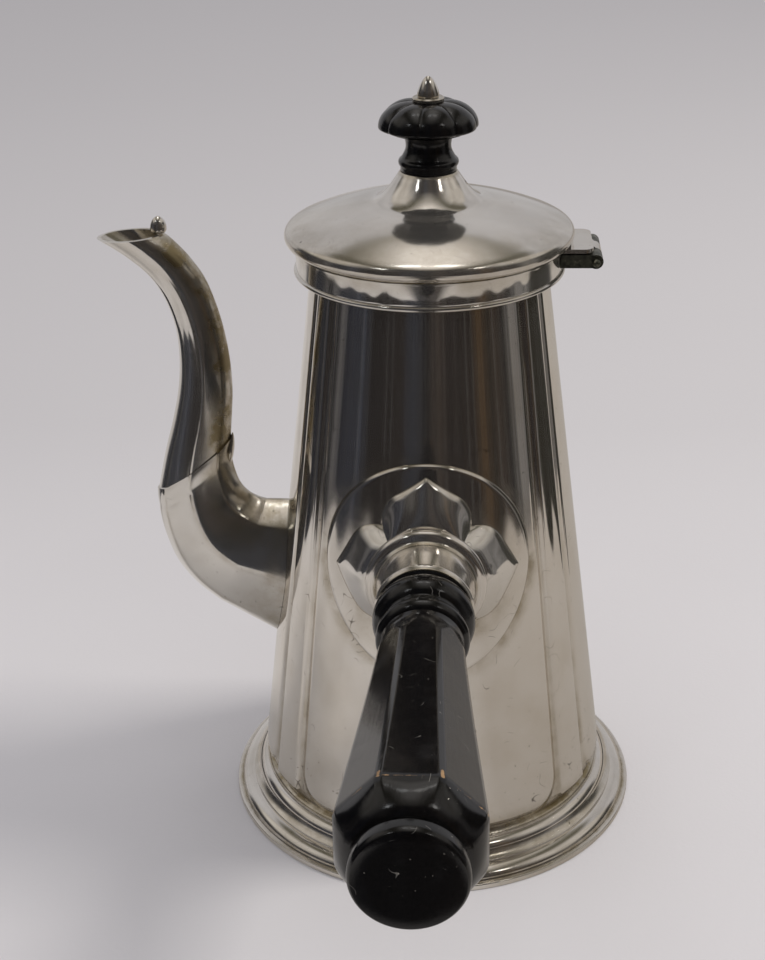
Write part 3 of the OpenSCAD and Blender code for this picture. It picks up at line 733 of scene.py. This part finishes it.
def build_calyx():
    start = RING_R - 1
    rings = [i / 30 for i in range(15, 28)] + [0.92, 0.94, 0.955, 0.97, 0.98, 0.99, 1.0]

    def along(share, a):
        """0 at the socket and about 1 at the petal's edge, without a crease up the middle."""
        length = mix(PETAL_NOTCH, PETAL_TIP, petal_middle(a)) - start
        return min(max((petal_edge(a) * share - start) / length, 0), 1)

    def top(x, z, share, a):
        u = along(share, a)
        base = wall_y(x, z, PLATE_T + 0.05)
        rise = SOCKET_Y + 0.1 - base
        edge = 0.85 - 0.6 * max(0.0, (share - 0.95) / 0.05) ** 2
        bulge = (0.4 + 0.8 * petal_middle(a)) * math.sin(math.pi * u ** 0.85)
        return base + edge + (rise - edge) * (1 - u) ** 1.7 + bulge

    def stain(share, a):
        return max(0.4 * smoothstep(0.93, 1.0, share), 0.5 * (1 - smoothstep(0.55, 0.66, share)))

    piece = wrapped(
        "handle_calyx_petals", petal_edge, rings, 288,
        lambda share, a: mix(1, BENT_WIDTH, smoothstep(0.45, 0.9, share)), top,
        lambda x, z, share, a: wall_y(x, z, PLATE_T + 0.04), stain)
    fit_out(piece, "pot", "silver_plate", SILVER, "handle_calyx")


def build_socket():
    bore, r = 7.92, RING_R
    outline = [(bore, SOCKET_Y), (r - 1.2, SOCKET_Y)]
    outline += arc(r - 1.7, SOCKET_Y + 1.75, 1.7, 1.7, -75, 80, 14)
    outline += arc(r - 0.9, RING_Y - 0.1, 1.5, 1.1, 250, 195, 6)
    outline += [(12.4, RING_Y), (bore, RING_Y)]
    piece = lathe("handle_socket_ring", outline, 160, sideways,
                  marks={"tarnish": lambda t, h, a: 0.8 * smoothstep(RING_Y - 1.2, RING_Y - 0.2, h)})
    fit_out(piece, "pot", "silver_plate", SILVER_SOFT, "handle_ring")
    y0, y1 = RING_Y + 0.02, FERRULE_Y
    outline = [(bore, y0), (12.3, y0), (12.25, y0 + 0.4), (12.0, y0 + 1.6), (11.8, y0 + 4.0)]
    outline += [(11.6, y1 - 2.4), (11.62, y1 - 2.0)]
    outline += arc(11.62, y1 - 1.2, 0.38, 0.75, -80, 60, 8)
    outline += [(11.6, y1 - 0.35), (11.4, y1), (bore, y1)]

    def stain(t, h, a):
        return max(0.8 * smoothstep(y1 - 0.5, y1, h), 0.5 * (1 - smoothstep(y0, y0 + 1, h)))

    piece = lathe("handle_ferrule_turned", outline, 160, sideways, marks={"tarnish": stain})
    fit_out(piece, "pot", "silver_plate", SILVER_SOFT, "handle_ferrule")


GRIP_END = -GRIP_LOW[1]
FLATS_START, FLATS_END = 78.0, 145.0
GRIP_THIN = 9.75
GRIP_THICK = (GRIP_HIGH[0] - GRIP_LOW[0]) / 2


def flat_distance(y):
    """Distance from the handle's axis to its flats, y from the pot's axis."""
    t = (y - FLATS_START) / (FLATS_END - FLATS_START)
    return mix(GRIP_THIN, GRIP_THICK, max(t, 0) ** 1.15)


def build_grip():
    start = FERRULE_Y + 0.02
    turned = [(7.9, SOCKET_Y + 1), (7.9, start), (10.9, start), (11.2, start + 0.2)]
    turned += arc(8.0, 62.0, 4.2, 4.5, -62, 62, 20)
    turned += arc(10.6, 67.0, 0.6, 0.6, 240, 180, 4)
    turned += arc(8.7, 70.3, 2.3, 2.4, -66, 70, 14)
    turned += [(9.75, 73.2), (9.55, 74.5)]
    blank = [(mix(9.55, 11.2, ((y - 75) / 8) ** 1.6), y) for y in (75, 76, 77, 78, 79, 80, 81, 82, 83)]
    blank += [(40.0, y) for y in [84 + 61 * i / 40 for i in range(41)]]
    end = arc(9.8, FLATS_END, GRIP_THICK - 9.9, 7.9, 4, 80, 26)
    end += arc(11.2, 153.1, 0.35, 0.35, 250, 180, 3)
    end += arc(11.0, 154.0, 0.75, 0.75, -60, 0, 4)
    end += arc(10.6, GRIP_END - 1.7, 1.15, 1.7, 0, 74, 8)
    end += [(8.0, GRIP_END - 0.02), (4.0, GRIP_END), (0.0, GRIP_END)]
    outline = [(0.0, SOCKET_Y + 1)] + turned + blank + end

    def flats(r, y, a):
        if y < 74.6 or y > 152:
            return r, y
        side = min(r, flat_distance(y)) if y > FLATS_END else flat_distance(y)
        corner = side / math.cos(math.radians(corner_angle(a)))
        limit = side / math.cos(math.radians(22.5)) - 0.28
        if y <= FLATS_END:
            return min(r, corner, limit), y
        return mix(min(corner, limit), r, smoothstep(FLATS_END, FLATS_END + 6, y)), y

    def worn(r, y, a):
        if y < FLATS_START - 2 or y > FLATS_END + 0.5:
            return 0.0
        corner = smoothstep(18.5, 22.3, abs(corner_angle(a)))
        near_end = smoothstep(FLATS_END - 5, FLATS_END, y)
        side_corner = 0.22 + 0.35 * smoothstep(118, 140, y)
        upper = smoothstep(-0.4, 0.4, math.cos(a))
        end_edge = 0.66 * upper * smoothstep(FLATS_END - 0.4, FLATS_END, y)
        return max(corner * side_corner, corner * near_end * (0.5 + 0.5 * upper), end_edge)

    piece = lathe("handle_grip_faceted", outline, 384, sideways, flats, {"wear": worn}, 30)
    fit_out(piece, "pot", "ebonised_wood", EBONY_HANDLE, "handle_grip")


# ---- Lid and knob ----

LID_SHOULDER_Z = 169.6
LID_WALL = 1.1
VENT = (9.3, 173.8, 40.0)     # x and z of the small hole in the lid's neck, and its lean in degrees


def dome_z(r):
    """Height of the dome's outer surface at radius r."""
    return LID_SHOULDER_Z - 6.1 * (max(r - 11, 0) / 24.1) ** 1.8


def cut_vent(piece):
    """Drills the small hole in the lid's neck, on the hinge's side."""
    x, z, lean = VENT
    across, along = math.cos(math.radians(lean)), math.sin(math.radians(lean))

    def leaning(r, h, a):
        side = r * math.sin(a)
        return (x + h * across + side * along, r * math.cos(a), z + h * along - side * across)

    bore = lathe("vent_tool", [(0, -2), (0.75, -2), (0.75, 3), (0, 3)], 24, leaning)
    cut = piece.modifiers.new("vent", "BOOLEAN")
    cut.object, cut.operation, cut.solver = bore, "DIFFERENCE", "EXACT"
    with bpy.context.temp_override(object=piece, active_object=piece, selected_objects=[piece]):
        bpy.ops.object.modifier_apply(modifier="vent")
    bpy.data.objects.remove(bore, do_unlink=True)


def build_lid():
    z, top, rim, wall = LID_LOW[2], LID_HIGH[2], LID_HIGH[0], LID_WALL
    outline = [(33.6, z)]
    outline += arc(rim - 2.35, z + 2.25, 2.33, 2.2, -86, 56, 24)
    outline += [(r, dome_z(r)) for r in [34.4 - 0.8 * i for i in range(24)]]
    neck = [(15.2, 169.42), (14.2, 169.65), (13.2, 170.05), (11.9, 170.95), (10.6, 172.2), (9.3, 173.8)]
    outline += spline(neck + [(8.2, 175.4), (7.3, top - 0.3)], 4)
    outline += [(7.0, top), (1.6, top), (1.6, top - wall), (6.2, top - wall)]
    outline += [(7.2, 174.6), (8.4, 173.0), (9.9, 171.3), (11.5, 169.9), (13.2, 168.9), (14.8, 168.3)]
    outline += [(r, dome_z(r) - wall) for r in [16 + 2 * i for i in range(10)]]
    outline += [(rim - wall, z + 2.2), (rim - wall - 0.4, z + 1.3), (33.6, z + 1)]

    def stain(r, h, a):
        under = 0.8 if h < z + 0.3 else 0.0
        return max(under, smoothstep(top - 1.2, top, h) * 0.8, 0.3 * smoothstep(24, 34, r))

    piece = lathe("lid_domed", outline, 256, marks={"tarnish": stain})
    cut_vent(piece)
    fit_out(piece, "lid", "silver_plate", SILVER_LID, "lid_dome")


HEAD_Z = 188.0           # where the knob's head is widest
STUD_BORE = 1.55         # inner radius of the washer and the nut round the stud


def build_knob():
    low, top, r = KNOB_LOW[2], KNOB_HIGH[2], KNOB_HIGH[0]
    outline = [(1.52, low), (6.7, low), (6.95, low + 0.25), (6.95, low + 0.9)]
    outline += arc(6.3, low + 2.2, 1.15, 1.15, -50, 62, 8)
    waist = [(6.5, 180.7), (5.75, 182.2), (5.6, 183.6), (5.95, 185.2), (6.8, 186.4), (9.5, 186.6)]
    outline += spline(waist, 5)
    outline += arc(4.6, HEAD_Z, r - 4.6, 1.45, -60, -8, 7)
    outline += arc(4.6, HEAD_Z, r - 4.6, top - HEAD_Z, 0, 90, 26)
    outline += [(3.0, top), (1.52, top)]

    def lobes(rr, h, a):
        if h < 186.5 or rr < 2:
            return rr, h
        valley = abs(math.sin(4 * (a + math.radians(9)))) ** 0.6
        depth = 0.05 * smoothstep(186.5, 187.6, h) * (1 - smoothstep(3.4, 5.5, 9.6 - rr)) * (1 - valley)
        drop = 0.4 * (1 - valley) * smoothstep(190, 192.5, h) * smoothstep(3.6, 5.2, rr)
        return rr * (1 - depth), h - drop

    piece = lathe("knob_lobed", outline, 320, warp=lobes,
                  marks={"wear": lambda rr, h, a: 0.12 * smoothstep(0.5, 1.0, rr / r)}, sharp=50)
    fit_out(piece, "lid", "ebonised_wood", EBONY_KNOB, "knob_grip")


def build_knob_washer():
    (_, _, low), (r, _, high) = box_mm("knob_washer")
    outline = [(STUD_BORE, low), (r - 0.15, low), (r, low + 0.2)]
    outline += [(r, high - 0.3), (r - 0.3, high), (STUD_BORE, high)]
    piece = lathe("knob_washer_plated", outline, 64, marks={"tarnish": lambda rr, h, a: 0.6})
    fit_out(piece, "lid", "silver_plate", SILVER_SOFT, "knob_washer")


def build_knob_nut():
    low, high = (corner[2] for corner in box_mm("knob_cone_nut"))
    cone = spline([(2.7, 0.08), (2.5, 0.3), (1.95, 0.58), (1.2, 0.84), (0.55, 0.97)], 5)
    outline = [(STUD_BORE, low), (2.55, low)] + [(r, mix(low, high, t)) for r, t in cone]
    outline += [(0, high), (0, low + 2.6), (STUD_BORE, low + 2.6)]
    piece = lathe("knob_cone_nut_plated", outline, 64,
                  marks={"tarnish": lambda r, h, a: 0.7 * (1 - smoothstep(low, low + 2, h))})
    fit_out(piece, "lid", "silver_plate", SILVER_SOFT, "knob_cone_nut")


def dress_cad_nodes():
    """Materials for the CAD nodes that stay, and softened edges for the hinge."""
    looks = {
        SILVER_SOFT: ("bottom_plate", "lid_bezel", "hinge_lid_leaf", "handle_cross_pin"),
        # painted shade on the hinge's bracket and pin
        HINGE_PAINTED_SHADE: ("hinge_bracket", "hinge_pin"),
        STEEL: ("knob_stud", "knob_under_washer", "knob_lock_nut"),
    }
    for material, names in looks.items():
        for name in names:
            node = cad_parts[name]
            node.data.materials.clear()
            node.data.materials.append(material)
            if name.startswith("hinge"):
                bevel = node.modifiers.new("soft_edges", "BEVEL")
                bevel.width, bevel.segments, bevel.limit_method = 0.22 * MM, 2, "ANGLE"
                bevel.angle_limit = math.radians(40)


build_body()
build_foot()
build_collar()
build_spout()
build_spout_trim()
build_plate()
build_calyx()
build_socket()
build_grip()
build_lid()
build_knob()
build_knob_washer()
build_knob_nut()
dress_cad_nodes()


# ---- Floor, light and camera ----

def heading(g, x, y):
    """Direction round the pot, from -1 to 1, with 0 towards the handle and 0.5 towards the hinge."""
    return g.math("DIVIDE", g.math("ARCTAN2", x, g.times(y, -1.0)), math.pi)


def build_floor():
    """Pale floor. In the silver it ends a little way round the pot, as a table's cloth does."""
    half = 4.0
    mesh = bpy.data.meshes.new("floor")
    corners = [(x * half, y * half, 0) for x, y in ((-1, -1), (1, -1), (1, 1), (-1, 1))]
    mesh.from_pydata(corners, [], [(0, 1, 2, 3)])
    floor = bpy.data.objects.new("floor", mesh)
    bpy.context.scene.collection.objects.link(floor)
    material, g = new_material("pale_floor")
    coords = g.node("ShaderNodeTexCoord").outputs["Object"]
    x, y, _ = g.node("ShaderNodeSeparateXYZ", None, Vector=coords).outputs
    turn = heading(g, x, y)
    off_handle = g.math("ABSOLUTE", turn)

    # Where the silver sees the room instead of the cloth: past a ragged edge, and in a painted shadow of the
    # handle on the floor below it
    ragged = g.plus(g.noise(coords, 6.0, 1.0), g.noise_along(turn, 13.0, 0.0, 0.5))
    ragged = g.times(g.math("SUBTRACT", ragged, 1.0), 0.2)
    reach = g.math("SQRT", g.plus(g.times(x, x), g.times(y, y)))
    cloth_reach = g.ramp(off_handle, (0.25, 0.38), (0.45, 0.34), (0.66, 0.25))
    beyond = g.math("SUBTRACT", g.plus(reach, ragged), cloth_reach)
    beyond = g.times(g.ramp(beyond, (0.0, 0.0), (0.006, 1.0)), g.ramp(off_handle, (0.69, 1.0), (0.72, 0.0)))
    # painted shadow: a dark strip on the floor below the handle, seen only in the silver
    handle_shadow_painted = g.times(
        g.ramp(g.math("ABSOLUTE", x), (0.05, 1.0), (0.09, 0.0)),
        g.ramp(g.times(y, -1.0), (0.16, 0.0), (0.22, 1.0)))
    dark_part = g.math("MAXIMUM", beyond, g.times(handle_shadow_painted, 0.95))

    glossy = g.node("ShaderNodeLightPath").outputs["Is Glossy Ray"]
    pale = g.blend(g.noise(coords, 5.0, 3.0), (0.62, 0.605, 0.62), (0.70, 0.685, 0.70))
    # painted shade: the cloth is darker towards the back
    pale = g.blend(g.ramp(y, (0.03, 0.0), (0.25, 0.75), (0.9, 1.0)), pale, (0.54, 0.527, 0.537))
    # Seen in the silver, the cloth has soft painted fold shading, and a painted shadow darkens it on the
    # hinge's side
    cloth_shade_in_silver = g.ramp(g.noise(coords, 9.0, 3.0, 0.5), (0.35, (0.52, 0.50, 0.48)), (0.65, (0.64, 0.62, 0.605)))
    cloth_shade_in_silver = g.blend(g.ramp(turn, (0.04, 0.0), (0.2, 1.0)), cloth_shade_in_silver, (0.40, 0.375, 0.345))
    weave = g.bump(g.noise(coords, 900.0, 2.0), 0.12, 0.0004)
    cloth = g.node("ShaderNodeBsdfDiffuse", None, Color=g.blend(glossy, pale, cloth_shade_in_silver), Normal=weave)
    room = g.node("ShaderNodeEmission", None, Color=room_colour(g, turn))
    cover = g.node(
        "ShaderNodeMixShader", None, i0=g.times(dark_part, glossy), i1=cloth.outputs[0], i2=room.outputs[0])
    g.node("ShaderNodeOutputMaterial", None, Surface=cover.outputs[0])
    mesh.materials.append(material)


# The room's stripes: degrees from the handle's direction, and colour
ROOM_STRIPES = [
    (-126, (0.10, 0.10, 0.11)), (-118, (0.016, 0.018, 0.024)), (-100, (0.02, 0.022, 0.03)),
    (-94, (0.09, 0.085, 0.085)), (-88, (0.012, 0.012, 0.015)), (-82, (0.16, 0.155, 0.16)),
    (-77, (0.020, 0.022, 0.032)), (-58, (0.045, 0.05, 0.068)), (-50, (0.014, 0.012, 0.012)),
    (-22, (0.022, 0.018, 0.016)), (-14, (0.040, 0.044, 0.058)), (-5, (0.030, 0.030, 0.034)),
    # The near-black stripe at -2 degrees is a painted reflection of the handle.
    (-2, (0.002, 0.002, 0.002)), (1, (0.030, 0.026, 0.024)), (9, (0.055, 0.043, 0.036)),
    (18, (0.022, 0.017, 0.015)), (38, (0.022, 0.016, 0.012)), (45, (0.085, 0.052, 0.025)),
    (55, (0.026, 0.020, 0.014)), (62, (0.05, 0.036, 0.026)), (70, (0.02, 0.018, 0.016)),
    (79, (0.24, 0.225, 0.215)), (90, (0.20, 0.19, 0.185)), (96, (0.022, 0.020, 0.012)),
    (118, (0.020, 0.018, 0.011)), (126, (0.10, 0.095, 0.09)),
]


def room_colour(g, turn):
    """The dark room in front of the pot, striped by direction: blue to the left, brown to the right."""
    place = g.node("ShaderNodeMath", {"operation": "MULTIPLY_ADD"}, i0=turn, i1=0.5, i2=0.5).outputs[0]
    room = g.ramp(place, *[(0.5 + degrees / 360, colour) for degrees, colour in ROOM_STRIPES])
    streaks = g.noise_along(turn, 70.0, 4.0, 0.7)
    room = g.blend(g.ramp(streaks, (0.38, 0.75), (0.62, 0.0)), room, (0.012, 0.011, 0.010))
    thin = g.noise_along(turn, 150.0, 1.0, 0.5, 3.0)
    return g.blend(g.ramp(thin, (0.60, 0.0), (0.68, 0.6)), room, (0.15, 0.15, 0.155))


def build_world():
    """A pale studio for the camera. The silver sees a dark room, a bright ceiling and pale cloth behind."""
    world = bpy.data.worlds.new("studio")
    bpy.context.scene.world = world
    world.use_nodes = True
    g = Graph(world.node_tree)
    way = g.node("ShaderNodeTexCoord").outputs["Generated"]
    x, y, z = g.node("ShaderNodeSeparateXYZ", None, Vector=way).outputs
    aside = g.math("ABSOLUTE", x)
    room = room_colour(g, heading(g, x, y))

    # Pale walls high up on both sides, but not in front
    walls = g.ramp(g.noise(way, 2.5, 3.0), (0.35, (0.38, 0.35, 0.31)), (0.65, (0.62, 0.59, 0.55)))
    sides = g.times(g.ramp(z, (0.3, 0.0), (0.5, 1.0)), g.ramp(aside, (0.3, 0.0), (0.55, 1.0)))
    sides = g.times(sides, g.ramp(g.plus(y, 0.5), (0.0, 0.1), (0.4, 1.0)))
    room = g.blend(sides, room, walls)

    # A ceiling that glows along the middle
    glow = g.times(
        g.ramp(aside, (0.08, 1.0), (0.22, 0.5), (0.38, 0.0)),
        g.ramp(z, (0.70, 0.15), (0.78, 0.5), (0.86, 1.0)))
    glow = g.times(glow, g.ramp(g.plus(y, 0.35), (0.0, 0.3), (0.35, 1.0)))
    ceiling = g.blend(glow, (0.085, 0.077, 0.05), (0.92, 0.87, 0.82))
    above = g.times(g.ramp(y, (0.02, 0.0), (0.12, 1.0)), g.ramp(aside, (0.45, 1.0), (0.62, 0.0)))
    above = g.math("MAXIMUM", above, g.ramp(z, (0.83, 0.0), (0.92, 1.0)))
    room = g.blend(above, room, ceiling)

    cloth = g.ramp(g.noise(way, 3.0, 3.0), (0.3, (0.40, 0.392, 0.40)), (0.7, (0.54, 0.53, 0.54)))
    back = g.math("SUBTRACT", y, g.times(aside, 0.45))
    behind = g.times(g.ramp(back, (0.12, 0.0), (0.2, 1.0)), g.ramp(z, (0.70, 1.0), (0.74, 0.0)))
    seen = g.blend(behind, room, cloth)
    glossy = g.node("ShaderNodeLightPath").outputs["Is Glossy Ray"]
    colour = g.blend(glossy, (0.66, 0.65, 0.665), seen)
    background = g.node("ShaderNodeBackground", None, Color=colour, Strength=1.0)
    g.node("ShaderNodeOutputWorld", None, Surface=background.outputs[0])


def add_light(name, place, aim, size, power, colour):
    data = bpy.data.lights.new(name, "AREA")
    data.shape, data.size, data.size_y = "RECTANGLE", size[0], size[1]
    data.energy, data.color = power, colour
    light = bpy.data.objects.new(name, data)
    light.location = place
    light.rotation_euler = (Vector(aim) - Vector(place)).to_track_quat("-Z", "Y").to_euler()
    bpy.context.scene.collection.objects.link(light)
    return light


def build_camera():
    """The photograph's view: from in front of the handle, a little to its right, looking down."""
    data = bpy.data.cameras.new("camera")
    data.sensor_width, data.lens = 36.0, 62.9
    data.clip_start, data.clip_end = 0.01, 30.0
    camera = bpy.data.objects.new("camera", data)
    pitch, yaw, roll = math.radians(25.269), math.radians(-3.422), math.radians(-1.094)
    ahead = Vector((math.sin(yaw) * math.cos(pitch), math.cos(yaw) * math.cos(pitch), -math.sin(pitch)))
    right = Vector((math.cos(yaw), -math.sin(yaw), 0))
    up = right.cross(ahead)
    right, up = right * math.cos(roll) + up * math.sin(roll), up * math.cos(roll) - right * math.sin(roll)
    turn = Matrix((right, up, -ahead)).transposed().to_4x4()
    camera.matrix_world = Matrix.Translation((0.01143, -0.40524, 0.28423)) @ turn
    bpy.context.scene.collection.objects.link(camera)
    bpy.context.scene.camera = camera


build_floor()
build_world()
key = add_light("key", (1.0, 0.1, 1.2), (0, 0, 0.08), (0.4, 0.4), 11.0, (1.0, 0.96, 0.9))
key.visible_glossy = False      # it only casts the soft shadow
add_light("top_lamp_left", (-0.21, 0.3, 1.8), (0, 0, 0.16), (0.26, 0.18), 0.3, (0.97, 0.99, 1.0))
add_light("top_lamp_right", (0.17, 0.3, 1.8), (0, 0, 0.16), (0.26, 0.18), 0.3, (1.0, 0.98, 0.95))
add_light("front_lamp_left", (-0.62, -0.62, 1.1), (0, 0, 0.12), (0.10, 0.12), 0.25, (0.95, 0.98, 1.0))
add_light("front_lamp_right", (0.66, -0.55, 1.1), (0, 0, 0.12), (0.10, 0.12), 0.25, (1.0, 0.98, 0.95))
build_camera()
bpy.context.scene.view_settings.view_transform = "Standard"
